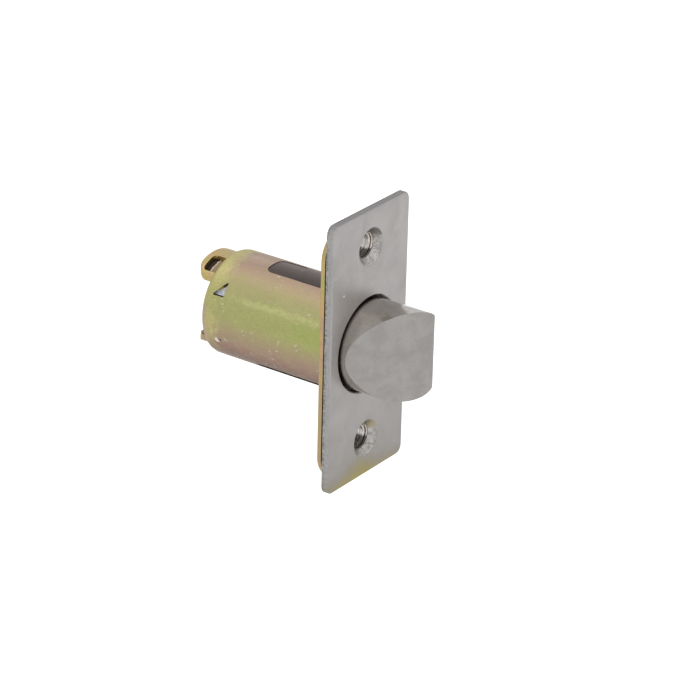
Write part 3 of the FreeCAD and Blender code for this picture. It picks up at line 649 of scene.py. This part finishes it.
# %% Tube: bright spot at the dimple, and joining up
DIMPLE_LEVEL, DIMPLE_X = 0.624, -29.7
MM_ROUND = 34.0
down = times(tree, calc(tree, "SUBTRACT", level, DIMPLE_LEVEL), MM_ROUND)
behind = calc(tree, "SUBTRACT", x, DIMPLE_X)
spot = calc(tree, "MULTIPLY_ADD", behind, behind, times(tree, down, down))
spot = between(tree, calc(tree, "MULTIPLY_ADD", small_bend, 0.6, spot), 0.6, 0.1)
bare = calc(tree, "MAXIMUM", bare, spot)
base = over(tree, base, srgb(228, 225, 214), bare, 0.8)
rough = calc(tree, "MULTIPLY_ADD", specks["Mask"], 0.12, 0.36)
height = calc(tree, "MULTIPLY_ADD", specks["Height"], 0.8, times(tree, bare, -1.0))
join_up(tree, shader, base, rough, height, 0.000014)
print("finish", zinc.name)

# %% [markdown]
# ## Yellow zinc on the sheet parts
# The inner plate, the cap and the tail are flat pressings from the same bath. Their film
# is more golden and changes in patches, not bands, so the zinc film group alone gives the
# colour. Warm orange patches lie over it, and the lower half, which sees less light, is
# duller. One function with a few numbers makes all three, so they stay related.


# %% Sheet finishes
def zinc_sheet(name, patch_mm, lean, warm, low_shade):
    """Golden zinc, with shares of warm patches and of painted shade below the axis."""
    material, tree, shader, place = start_material(name, 1.0, 0.36)
    z = axes_of(tree, place)[2]
    tint = use(tree, film, Place=place, Patch_mm=patch_mm, Lean=lean)
    marks = use(tree, scratches, Place=place, Spacing_mm=1.6, Length=3.0, Turn=1.4,
                Amount=0.22)
    warmth = between(tree, noise(tree, place, 3.0, 2.0), 0.35, 0.65)
    base = over(tree, tint["Colour"], srgb(204, 164, 116), warmth, warm)
    # painted shade: the lower half is darker
    base = over(tree, base, srgb(168, 148, 116), between(tree, z, -1.0, -7.0), low_shade)
    base = over(tree, base, srgb(222, 214, 196), marks["Mask"], 0.55)
    rough = calc(tree, "MULTIPLY_ADD", tint["Grit"], 0.16, 0.27)
    height = calc(tree, "MULTIPLY_ADD", tint["Grit"], 0.7, marks["Height"])
    join_up(tree, shader, base, rough, height, 0.00001)
    return material


golden = zinc_sheet("golden_zinc_plate", 9.0, -0.1, 0.5, 0.6)
prong_zinc = zinc_sheet("golden_zinc_cap", 3.0, 0.04, 0.55, 0.85)
tail_zinc = zinc_sheet("golden_zinc_tail", 4.0, 0.05, 0.3, 0.1)
print("finishes", golden.name, prong_zinc.name, tail_zinc.name)

# %% [markdown]
# ## Plastic
# The guide sleeve is a dark brown-grey moulding with a slight sheen and fine tool marks
# from its mould. White surroundings make dark plastic look grey, and a warm tint on its
# sheen keeps it brown. Painted light makes it lighter towards +y, painted shade darkens its
# mouth behind the plate, and its rear legs are painted dark too.

# %% Sleeve plastic
plastic, tree, shader, place = start_material("dark_moulded_plastic", 0.0, 0.38)
shader.inputs["Specular Tint"].default_value = (0.92, 0.66, 0.61, 1.0)
x, y, z = axes_of(tree, place)
patches = use(tree, cloud, Place=place, Size_mm=2.4, Sharpness=0.5)["Mask"]
fine = use(tree, grain, Place=place, Size_mm=0.22, Stretch=1.0)
rubs = use(tree, scratches, Place=place, Spacing_mm=1.5, Length=4.0, Turn=0.3, Amount=0.2)
base = blend(tree, patches, srgb(44, 38, 36), srgb(60, 53, 50))
base = over(tree, base, srgb(34, 30, 29), fine["Mask"], 0.3)
# painted light: the sleeve is lighter towards +y
base = over(tree, base, srgb(93, 84, 82), between(tree, y, -3.2, 3.4, 0.0, 0.75))
base = over(tree, base, srgb(132, 124, 117), rubs["Mask"], 0.4)
# painted shade: the mouth behind the plate is nearly black
base = over(tree, base, srgb(20, 18, 17), between(tree, x, -4.5, -2.6))
print("sleeve's body ready")

# %% [markdown]
# The sleeve's legs show through the windows of the prongs, and the shade and light seen
# there are painted on them: their ends are black with painted shade, and nearer the cap a
# brown face of painted shade has a painted highlight along its edge. The noise in x makes
# that edge ragged.

# %% Legs of the sleeve, and joining up
LEG_FACE_X = -35.36
# painted shade and a painted highlight on the legs; the lower leg also gets a tan patch on its
# -y side
ragged = calc(tree, "MULTIPLY_ADD", noise(tree, place, 0.9, 2.0), 0.5, x)
brown_face = between(tree, ragged, LEG_FACE_X - 0.06, LEG_FACE_X + 0.06)
leg_edge_highlight = between(tree, away(tree, ragged, LEG_FACE_X), 0.14, 0.05)
leg_light_and_shade = blend(tree, brown_face, srgb(26, 21, 18), srgb(144, 124, 94))
leg_light_and_shade = over(tree, leg_light_and_shade, srgb(228, 208, 184), leg_edge_highlight)
leg_light_and_shade = over(tree, leg_light_and_shade, srgb(158, 134, 98), between(tree, z, -2.0, -4.0),
                between(tree, y, -3.9, -4.5))
base = over(tree, base, leg_light_and_shade, between(tree, x, -33.2, -33.6))
rough = calc(tree, "MULTIPLY_ADD", patches, 0.12, 0.34)
height = calc(tree, "ADD", fine["Height"], rubs["Height"])
join_up(tree, shader, base, rough, height, 0.000016)
print("finish", plastic.name)

# %% [markdown]
# ## Bare steel
# The pin and the spring are bare steel, which differs from the plating only in colour and
# roughness. Both are drawn or ground lengthwise, so long faint scratches are enough.


# %% Pin and spring finishes
def bare_steel(name, light, dark, roughness, spacing_mm):
    """Steel without plating, cloudy between two tones, with long faint scratches."""
    material, tree, shader, place = start_material(name, 1.0, roughness)
    patches = use(tree, cloud, Place=place, Size_mm=1.2, Sharpness=0.4)["Mask"]
    drag = use(tree, scratches, Place=place, Spacing_mm=spacing_mm, Length=6.0, Turn=1.1,
               Amount=0.3)
    base = over(tree, blend(tree, patches, light, dark), srgb(214, 216, 220),
                drag["Mask"], 0.4)
    rough = calc(tree, "MULTIPLY_ADD", patches, 0.1, roughness)
    join_up(tree, shader, base, rough, drag["Height"], 0.000008)
    return material


pin_steel = bare_steel("ground_pin_steel", srgb(186, 186, 186), srgb(168, 168, 168),
                       0.24, 0.8)
wire_steel = bare_steel("drawn_spring_steel", srgb(150, 150, 152), srgb(124, 123, 124),
                        0.3, 0.9)
print("finishes", pin_steel.name, wire_steel.name)

# %% [markdown]
# The stakes are tongues that a press cut out of the tube's wall and bent inward to hold
# the cap. Where the press tore the film they are silver, with a slanting border, and
# painted shade darkens the slit at the front. The slant is the way round the tube plus a
# little of x.

# %% Stake finish
SLANT_PER_MM = 0.0231
cut_steel, tree, shader, place = start_material("bright_cut_steel", 1.0, 0.4)
x, y, z = axes_of(tree, place)
grainy = use(tree, cloud, Place=place, Size_mm=0.7, Sharpness=0.5)["Mask"]
tear = calc(tree, "MULTIPLY_ADD", calc(tree, "ADD", x, 29.5), SLANT_PER_MM,
            round_the_tube(tree, y, z))
silver = blend(tree, grainy, srgb(200, 202, 210), srgb(164, 166, 176))
around = blend(tree, grainy, srgb(190, 182, 122), srgb(176, 164, 112))
# painted shade in the slit at the front of the stake
around = over(tree, around, srgb(70, 62, 52), between(tree, x, -29.75, -29.6), 0.85)
base = over(tree, around, silver, between(tree, tear, 0.279, 0.289))
rough = calc(tree, "MULTIPLY_ADD", grainy, 0.1, 0.36)
join_up(tree, shader, base, rough, grainy, 0.00002)
print("finish", cut_steel.name)

# %% [markdown]
# The threads are cut into bare steel, so they are bright, apart from painted shade that
# darkens one side of each bore.

# %% Thread finish
tapped_steel, tree, shader, place = start_material("tapped_thread_steel", 1.0, 0.3)
z = axes_of(tree, place)[2]
patches = use(tree, cloud, Place=place, Size_mm=1.2, Sharpness=0.4)["Mask"]
drag = use(tree, scratches, Place=place, Spacing_mm=0.5, Length=6.0, Turn=1.1, Amount=0.3)
# painted shade on one side of each bore
above = calc(tree, "MULTIPLY_ADD", noise(tree, place, 0.7, 2.0), 0.6, beyond_screw(tree, z))
bore_shade_low = times(tree, between(tree, above, -0.1, -0.8), between(tree, z, 1.0, 0.0))
bore_shade_high = times(tree, between(tree, above, -0.9, -1.3), between(tree, z, 0.0, 1.0))
bore_shade = calc(tree, "MAXIMUM", bore_shade_low, bore_shade_high)
base = blend(tree, patches, srgb(240, 237, 234), srgb(212, 208, 204))
base = over(tree, base, srgb(38, 34, 31), bore_shade, 0.85)
rough = calc(tree, "MULTIPLY_ADD", patches, 0.1, 0.28)
join_up(tree, shader, base, rough, drag["Height"], 0.000008)
print("finish", tapped_steel.name)

# %% [markdown]
# ## Softening the edges
# No pressed or cast edge is as sharp as a drawing's. A Bevel modifier rounds each edge
# that turns by more than a set angle. The construction mesh is loose triangles, which a
# bevel would tear apart, so a copy is merged and its flat faces are joined first. Weighted
# normals then keep the large faces flat in the light and leave the roundness to the edges.

# %% Softened copies
MERGE_DISTANCE = 0.000002
FLAT_DEGREES = 0.4
EDGE_DEGREES = 34
FACE_WEIGHT = 80


def finished(piece):
    """Turn a piece with modifiers into a plain mesh."""
    graph = bpy.context.evaluated_depsgraph_get()
    mesh = bpy.data.meshes.new_from_object(piece.evaluated_get(graph), depsgraph=graph)
    piece.modifiers.clear()
    piece.data = mesh


def joined_faces(name, node):
    """A copy of a solid's mesh, merged, with its flat faces joined."""
    work = bmesh.new()
    work.from_mesh(nodes[node].data)
    bmesh.ops.remove_doubles(work, verts=work.verts, dist=MERGE_DISTANCE)
    for edge in work.edges:
        edge.smooth = True
    bmesh.ops.dissolve_limit(work, angle_limit=math.radians(FLAT_DEGREES),
                             verts=work.verts, edges=work.edges)
    mesh = bpy.data.meshes.new(name)
    work.to_mesh(mesh)
    work.free()
    mesh.shade_smooth()
    return mesh


def softened(name, node, width_mm, material, segments=2):
    """A copy of a solid with rounded edges, riding and shown in its place."""
    mesh = joined_faces(name, node)
    mesh.materials.append(material)
    piece = bpy.data.objects.new(name, mesh)
    bpy.context.scene.collection.objects.link(piece)
    bevel = piece.modifiers.new("soft_edges", "BEVEL")
    bevel.width = width_mm / 1000
    bevel.segments = segments
    bevel.limit_method = "ANGLE"
    bevel.angle_limit = math.radians(EDGE_DEGREES)
    even = piece.modifiers.new("flat_faces_flat", "WEIGHTED_NORMAL")
    even.weight = FACE_WEIGHT
    even.keep_sharp = True
    finished(piece)
    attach(piece, nodes[node]["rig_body"])
    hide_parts(node)
    print(name, "faces", len(piece.data.polygons))
    return piece


softened("front_plate", "faceplate", 0.12, satin, segments=3)
inner_plate = softened("inner_plate", "backing_plate", 0.18, golden, segments=3)
case_tube = softened("case_tube", "latch_tube", 0.1, zinc)
softened("guide_lining", "guide_sleeve", 0.12, plastic)
softened("rear_cap", "prong_cap", 0.14, prong_zinc)
bolt_nose = softened("bolt_nose", "latch_bolt", 0.18, tumbled, segments=3)
softened("draw_tail", "tail_bar", 0.12, tail_zinc)

# %% [markdown]
# ## Second finishes on the bolt, the tube and the inner plate
# A face's material is a number in its mesh. The bolt's bevel and tip point forward, so
# every face that doesn't is given the polished finish. On the tube, the faces of the
# stakes lie inside the wall's round, and they are bare where the press tore the film. On
# the inner plate, the faces close to a screw's axis are the tapped bores.

# %% Give faces their finish
STAKE_DEGREES = 34


def paint(piece, material, chosen):
    """Give a second material to the faces that the test picks."""
    piece.data.materials.append(material)
    number = len(piece.data.materials) - 1
    faces = [face for face in piece.data.polygons if chosen(face)]
    for face in faces:
        face.material_index = number
    print(piece.name, "has", len(faces), "faces in", material.name)


def on_bolt_round(face):
    """Faces of the bolt that point neither forward nor to its flat strike side."""
    return face.normal.x < 0.25 and face.normal.y < 0.95


def on_stake(face):
    """Faces of the tube's stakes: near its rear, above the side, inside the wall."""
    x, y, z = face.center * 1000
    degrees = math.degrees(math.atan2(z, abs(y)))
    near_stake = -31.4 < x < -28.6 and abs(degrees - STAKE_DEGREES) < 11
    return near_stake and 9.9 < math.hypot(y, z) < 10.72


def in_screw_bore(face):
    """Faces of the inner plate within a thread's reach of a screw's axis."""
    x, y, z = face.center * 1000
    return math.hypot(y, abs(z) - SCREW_MM) < 2.45


paint(bolt_nose, slid, on_bolt_round)
paint(case_tube, cut_steel, on_stake)
paint(inner_plate, tapped_steel, in_screw_bore)

# %% [markdown]
# ## The pin
# The tail pin is a plain ground pin, and the solid's shape is right as it is. It stays, and
# only its material changes.

# %% Pin finish
pin = nodes["tail_pin"]
pin.data.materials.clear()
pin.data.materials.append(pin_steel)
print("pin keeps its solid:", len(pin.data.polygons), "faces")

# %% [markdown]
# ## Wound wire
# A coil spring and a screw thread follow one rule: points numbered along a line, each number
# turned into an angle and a place along the axis, and a circle drawn along the line. An
# array or a screw modifier could do it too, but Geometry Nodes can say exactly where each
# point lies. The sizes are named inputs, so the same tree makes any spring or thread.


# %% Geometry helpers
def new_geometry_tree(name, inputs):
    """An empty geometry tree with named number inputs and one material input."""
    tree = bpy.data.node_groups.new(name, "GeometryNodeTree")
    tree.interface.new_socket("Geometry", in_out="OUTPUT",
                              socket_type="NodeSocketGeometry")
    for title in inputs:
        tree.interface.new_socket(title, in_out="INPUT", socket_type="NodeSocketFloat")
    tree.interface.new_socket("Finish", in_out="INPUT", socket_type="NodeSocketMaterial")
    source = tree.nodes.new("NodeGroupInput").outputs
    sink = tree.nodes.new("NodeGroupOutput").inputs
    return tree, source, sink


def grown(name, tree, values, material, body):
    """Run a geometry tree on a new piece and keep its mesh."""
    piece = bpy.data.objects.new(name, bpy.data.meshes.new(name))
    bpy.context.scene.collection.objects.link(piece)
    modifier = piece.modifiers.new(tree.name, "NODES")
    modifier.node_group = tree
    sockets = {item.name: item.identifier for item in tree.interface.items_tree
               if item.in_out == "INPUT"}
    for title, value in values.items():
        modifier[sockets[title]] = float(value)
    modifier[sockets["Finish"]] = material
    finished(piece)
    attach(piece, body)
    print(name, "faces", len(piece.data.polygons))
    return piece


def wound_wire(tree, count, along, angle, radius, wire_radius, material):
    """Round wire through numbered points wound about the X axis."""
    line = add(tree, "GeometryNodeMeshLine", {"Count": count}, mode="OFFSET")
    across = calc(tree, "MULTIPLY", calc(tree, "COSINE", angle), radius)
    upward = calc(tree, "MULTIPLY", calc(tree, "SINE", angle), radius)
    spot = add(tree, "ShaderNodeCombineXYZ", {"X": along, "Y": across, "Z": upward})
    placed = add(tree, "GeometryNodeSetPosition",
                 {"Geometry": line.outputs[0], "Position": spot.outputs[0]})
    path = add(tree, "GeometryNodeMeshToCurve", {"Mesh": placed.outputs[0]})
    ring = add(tree, "GeometryNodeCurvePrimitiveCircle",
               {"Resolution": 12, "Radius": wire_radius})
    skin = add(tree, "GeometryNodeCurveToMesh", {
        "Curve": path.outputs[0], "Profile Curve": ring.outputs[0], "Fill Caps": True})
    smooth = add(tree, "GeometryNodeSetShadeSmooth", {"Geometry": skin.outputs[0]})
    return add(tree, "GeometryNodeSetMaterial",
               {"Geometry": smooth.outputs[0], "Material": material}).outputs[0]


print("geometry helpers ready")

# %% [markdown]
# ## The spring
# A compression spring's first and last turns lie close together, so that it stands flat,
# and the turns between them are open. The place of a point along the axis is therefore
# the close pitch times its share of end turns, plus the open pitch times the rest.

# %% Spring tree
coil_tree, source, sink = new_geometry_tree("wound_spring", [
    "Coil radius", "Wire radius", "Rear", "Front", "Turns", "Close pitch", "Steps"])
index = coil_tree.nodes.new("GeometryNodeInputIndex").outputs[0]
turn = calc(coil_tree, "DIVIDE", index, source["Steps"])
last = calc(coil_tree, "SUBTRACT", source["Turns"], 1.0)
open_turns = calc(coil_tree, "SUBTRACT", source["Turns"], 2.0)
first_part = calc(coil_tree, "MINIMUM", turn, 1.0)
last_part = calc(coil_tree, "MAXIMUM", calc(coil_tree, "SUBTRACT", turn, last), 0.0)
close_part = calc(coil_tree, "ADD", first_part, last_part)
middle = calc(coil_tree, "SUBTRACT", turn, close_part)
length = calc(coil_tree, "SUBTRACT", source["Front"], source["Rear"])
open_length = calc(coil_tree, "MULTIPLY_ADD", source["Close pitch"], -2.0, length)
open_pitch = calc(coil_tree, "DIVIDE", open_length, open_turns)
along = calc(coil_tree, "MULTIPLY_ADD", close_part, source["Close pitch"], source["Rear"])
along = calc(coil_tree, "MULTIPLY_ADD", middle, open_pitch, along)
angle = calc(coil_tree, "MULTIPLY", turn, 2 * math.pi)
count = calc(coil_tree, "MULTIPLY_ADD", source["Turns"], source["Steps"], 1.0)
wire = wound_wire(coil_tree, count, along, angle, source["Coil radius"],
                  source["Wire radius"], source["Finish"])
coil_tree.links.new(wire, sink["Geometry"])
print("tree", coil_tree.name)

# %% Build the spring
SPRING_TURNS = 8
WIRE_RADIUS = 0.00045
CLOSE_PITCH = 0.00095
spring_low, spring_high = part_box("bolt_spring")
coil_radius = (spring_high.z - spring_low.z) / 2 - WIRE_RADIUS
spring = grown("coil_spring", coil_tree, {
    "Coil radius": coil_radius, "Wire radius": WIRE_RADIUS,
    "Rear": spring_low.x + WIRE_RADIUS, "Front": spring_high.x - WIRE_RADIUS,
    "Turns": SPRING_TURNS, "Close pitch": CLOSE_PITCH, "Steps": 32,
}, wire_steel, "case")
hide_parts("bolt_spring")
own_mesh(spring)

# %% [markdown]
# ## Threads in the screw bosses
# The two holes of the inner plate are drawn into short bosses and tapped, and their
# threads show through the countersinks. A thread is the same idea as the spring, a wound
# ridge, only with its middle in the wall of the bore so that half of it stands out. A
# rounded lip lies in front of it. The tree copies both to the two bosses.

# %% Thread tree
thread_tree, source, sink = new_geometry_tree("boss_thread", [
    "Bore radius", "Ridge radius", "Start", "Pitch", "Turns", "Steps", "Screw height",
    "Lip place", "Lip radius"])
index = thread_tree.nodes.new("GeometryNodeInputIndex").outputs[0]
turn = calc(thread_tree, "DIVIDE", index, source["Steps"])
angle = calc(thread_tree, "MULTIPLY", turn, 2 * math.pi)
along = calc(thread_tree, "MULTIPLY_ADD", turn, source["Pitch"], source["Start"])
count = calc(thread_tree, "MULTIPLY_ADD", source["Turns"], source["Steps"], 1.0)
ridge = wound_wire(thread_tree, count, along, angle, source["Bore radius"],
                   source["Ridge radius"], source["Finish"])
lip_count = calc(thread_tree, "ADD", source["Steps"], 1.0)
lip = wound_wire(thread_tree, lip_count, source["Lip place"], angle,
                 source["Lip radius"], source["Ridge radius"], source["Finish"])
both = thread_tree.nodes.new("GeometryNodeJoinGeometry")
for way in (1.0, -1.0):
    height = calc(thread_tree, "MULTIPLY", source["Screw height"], way)
    shift = add(thread_tree, "ShaderNodeCombineXYZ", {"Z": height}).outputs[0]
    for part in (ridge, lip):
        moved = add(thread_tree, "GeometryNodeTransform",
                    {"Geometry": part, "Translation": shift})
        thread_tree.links.new(moved.outputs[0], both.inputs[0])
thread_tree.links.new(both.outputs[0], sink["Geometry"])
print("tree", thread_tree.name)

# %% Build the threads
grown("boss_threads", thread_tree, {
    "Bore radius": 0.00218, "Ridge radius": 0.00022, "Start": -0.00432, "Pitch": 0.00066,
    "Turns": 3.2, "Steps": 40, "Screw height": SCREW_MM / 1000, "Lip place": -0.00178,
    "Lip radius": 0.00266,
}, tapped_steel, "case")

# %% [markdown]
# ## Floor and light
# The photograph is a product picture on pure white: light comes from all round, a little
# more from above. A white world gives this even light. Polished metal only looks like
# metal when it has something to mirror, so the world darkens a little towards the
# horizon, and the floor shows white to the camera and to reflections.

# %% Floor
FLOOR_DROP = 0.095
floor_material = bpy.data.materials.new("white_floor")
floor_material.use_nodes = True
tree = floor_material.node_tree
tree.nodes.clear()
rays = tree.nodes.new("ShaderNodeLightPath").outputs
shown = calc(tree, "MAXIMUM", rays["Is Camera Ray"], rays["Is Transmission Ray"])
glow_strength = calc(tree, "MULTIPLY_ADD", rays["Is Glossy Ray"], 0.12,
                     calc(tree, "MULTIPLY", shown, 0.45))
matt = add(tree, "ShaderNodeBsdfDiffuse", {"Color": (0.8, 0.8, 0.8, 1)}).outputs[0]
glow = add(tree, "ShaderNodeEmission", {"Strength": glow_strength}).outputs[0]
both = add(tree, "ShaderNodeAddShader", {0: matt, 1: glow}).outputs[0]
add(tree, "ShaderNodeOutputMaterial", {"Surface": both})
floor_work = bmesh.new()
bmesh.ops.create_grid(floor_work, x_segments=1, y_segments=1, size=3.0,
                      matrix=Matrix.Translation((0, 0, -FLOOR_DROP)))
floor_mesh = bpy.data.meshes.new("floor")
floor_work.to_mesh(floor_mesh)
floor_work.free()
floor_mesh.materials.append(floor_material)
floor = bpy.data.objects.new("floor", floor_mesh)
bpy.context.scene.collection.objects.link(floor)
floor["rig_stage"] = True
print("floor", round(FLOOR_DROP * 1000), "mm below the bolt")

# %% World light
HORIZON_TO_TOP = [
    (0.0, (0.60, 0.60, 0.61, 1)), (0.45, (0.80, 0.80, 0.80, 1)), (1.0, (1.0, 1.0, 1.0, 1)),
]
world = bpy.data.worlds.new("light_tent")
bpy.context.scene.world = world
world.use_nodes = True
tree = world.node_tree
tree.nodes.clear()
direction = tree.nodes.new("ShaderNodeTexCoord").outputs["Generated"]
up = add(tree, "ShaderNodeSeparateXYZ", {0: direction}).outputs[2]
sky = ramp(tree, between(tree, up, -0.2, 0.9, soft=False), HORIZON_TO_TOP)
tent = add(tree, "ShaderNodeBackground", {"Color": sky, "Strength": 1.07}).outputs[0]
white = add(tree, "ShaderNodeBackground", {"Color": (1, 1, 1, 1), "Strength": 1.0})
rays = tree.nodes.new("ShaderNodeLightPath").outputs
shown = calc(tree, "MAXIMUM", rays["Is Camera Ray"], rays["Is Transmission Ray"])
mixed = add(tree, "ShaderNodeMixShader", {0: shown, 1: tent, 2: white.outputs[0]})
add(tree, "ShaderNodeOutputWorld", {"Surface": mixed.outputs[0]})
print("world", world.name)


# %% Soft lamps
def soft_box(name, place, size, watts):
    """A square lamp that looks at the latch."""
    light = bpy.data.lights.new(name, "AREA")
    light.shape = "SQUARE"
    light.size = size
    light.energy = watts
    lamp = bpy.data.objects.new(name, light)
    lamp.location = place
    lamp.rotation_euler = (-Vector(place)).to_track_quat("-Z", "Y").to_euler()
    bpy.context.scene.collection.objects.link(lamp)


soft_box("overhead_box", (-0.1, -0.1, 0.9), 0.9, 1.2)
soft_box("front_box", (0.9, -0.9, 0.9), 0.9, 0.8)
bpy.context.scene.view_settings.view_transform = "Standard"
print("lamps:", [item.name for item in bpy.data.lights])

# %% [markdown]
# ## Sizes, and the end
# The dressed latch should be as large as the construction model; its growth is printed.

# %% Write the sizes and finish
now_low, now_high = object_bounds()
growth = [now - cad for cad, now in zip((*cad_low, *cad_high), (*now_low, *now_high))]
print("grown by mm:", [round(value * 1000, 3) for value in growth])
